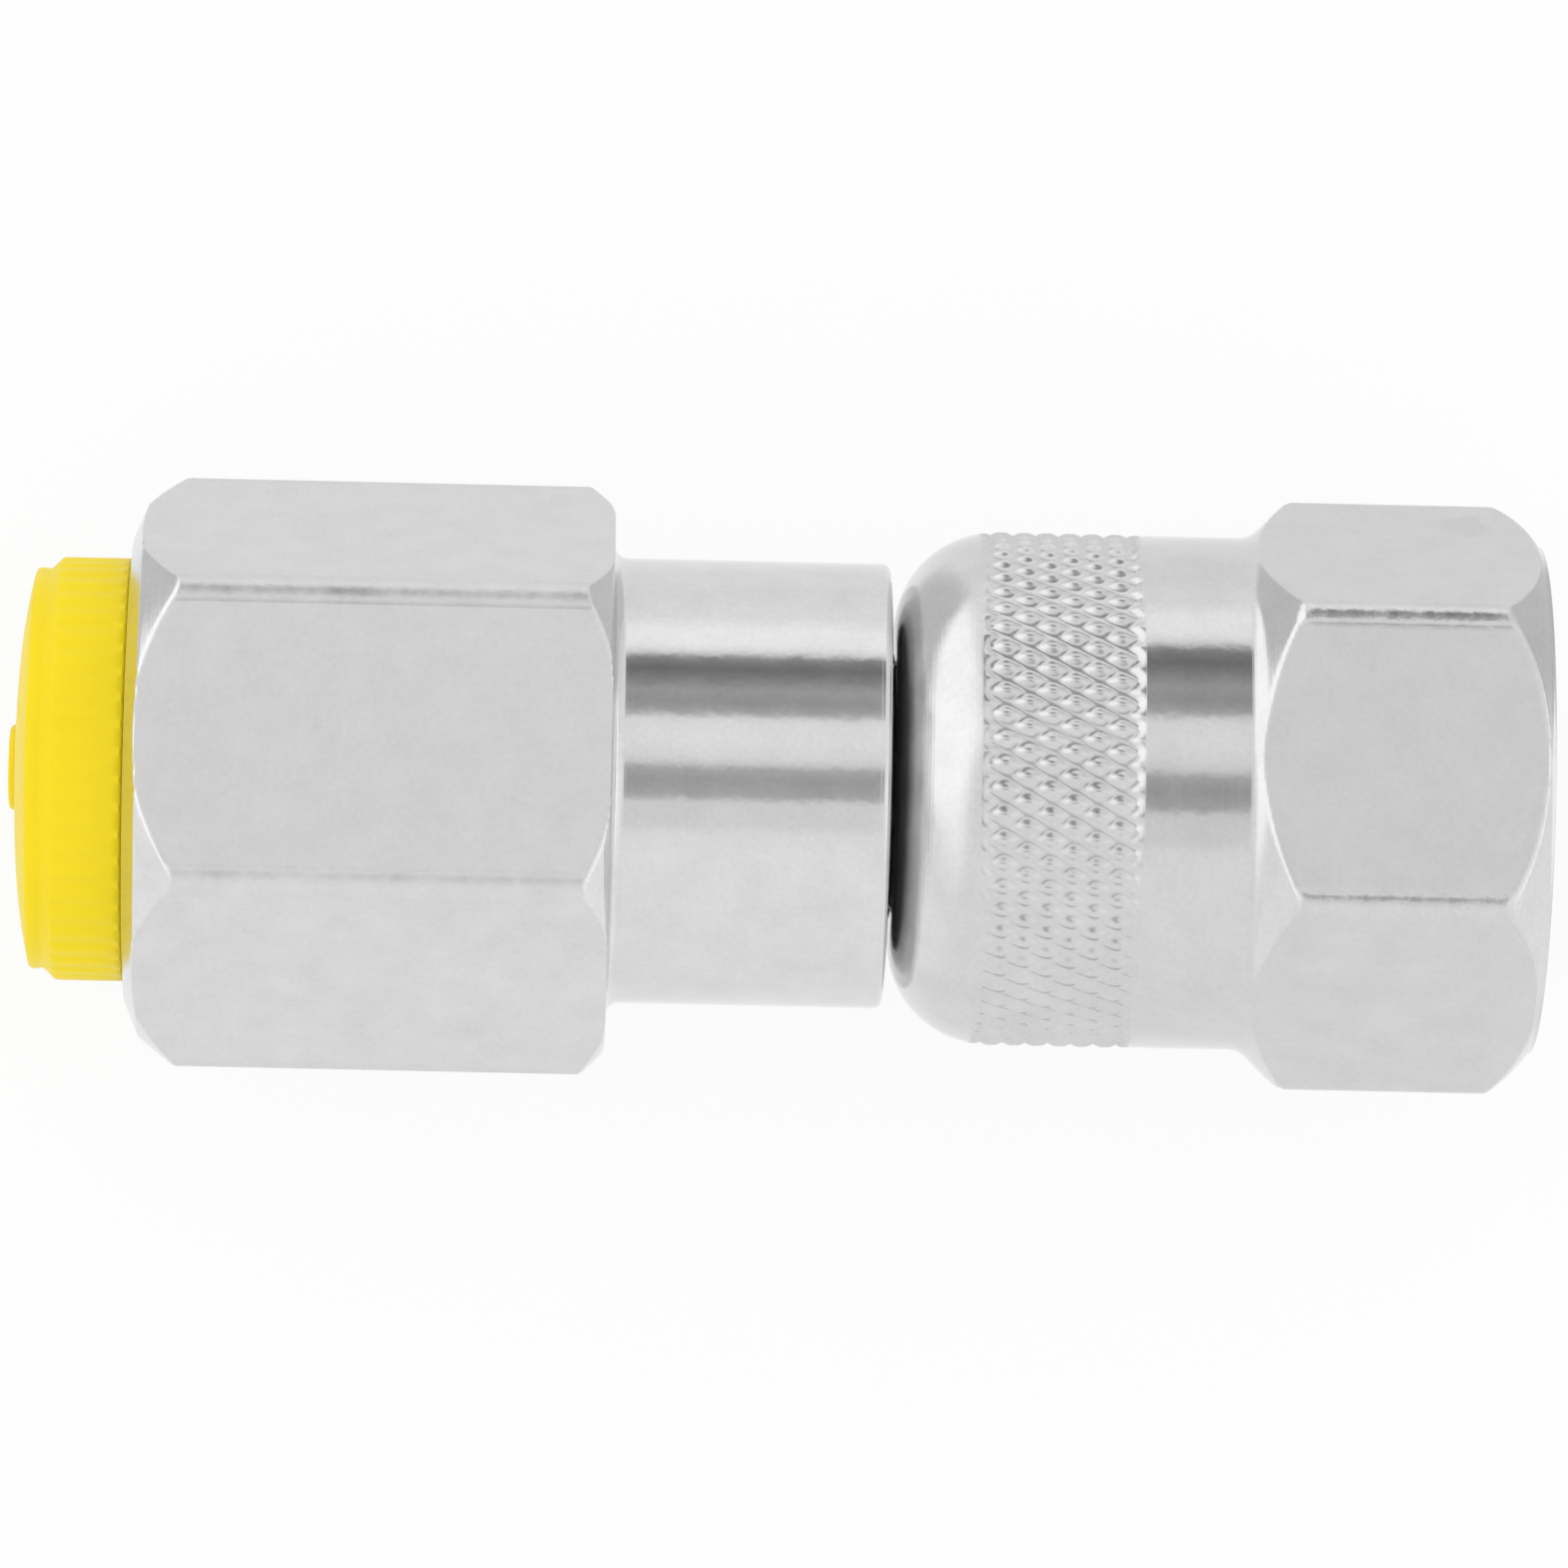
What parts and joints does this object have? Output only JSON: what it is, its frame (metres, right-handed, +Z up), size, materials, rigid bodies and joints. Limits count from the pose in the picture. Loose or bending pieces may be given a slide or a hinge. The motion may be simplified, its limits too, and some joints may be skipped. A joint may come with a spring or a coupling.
{
  "type": "hydraulic test point adapter",
  "caption": "Straight adapter with a female gauge port, closed by a ribbed plastic plug, and a knurled swivel nut that screws onto a hydraulic test point.",
  "frame": {"origin": "on the axis at the outer end of the swivel nut's full thread", "axes": "+X along the axis, out of the nut's mouth; the gauge port is at -X; +Z up, with the lower flat of each hexagon level"},
  "size_m": [0.0556, 0.0218, 0.019],
  "materials": {
    "plated_steel": "bright zinc plating, satin flats and turned neck",
    "plated_steel_nut": "bright zinc plating, satin flats and a knurled band",
    "washer_brass": "turned",
    "spring_steel": "drawn wire",
    "seal_rubber": "moulded",
    "backup_plastic": "turned",
    "pin_steel": "ground",
    "gauge_seal_rubber": "moulded",
    "yellow_plastic": "moulded, slightly glossy"
  },
  "bodies": {
    "adapter_body": {"body": "plated_steel", "thrust_washer": "washer_brass", "retaining_ring": "spring_steel", "nose_seal": "seal_rubber", "backup_ring": "backup_plastic", "opening_pin": "pin_steel", "gauge_seal": "gauge_seal_rubber"},
    "nut": {"swivel_nut": "plated_steel_nut"},
    "plug": {"protective_plug": "yellow_plastic"}
  },
  "joints": [
    {"name": "nut_spin", "type": "hinge", "parent": "adapter_body", "child": "nut", "pos_m": [0, 0, 0], "axis": [1, 0, 0], "continuous": true},
    {"name": "plug_pull", "type": "slide", "parent": "adapter_body", "child": "plug", "axis": [-1, 0, 0], "range_m": [0, 0.014]}
  ]
}
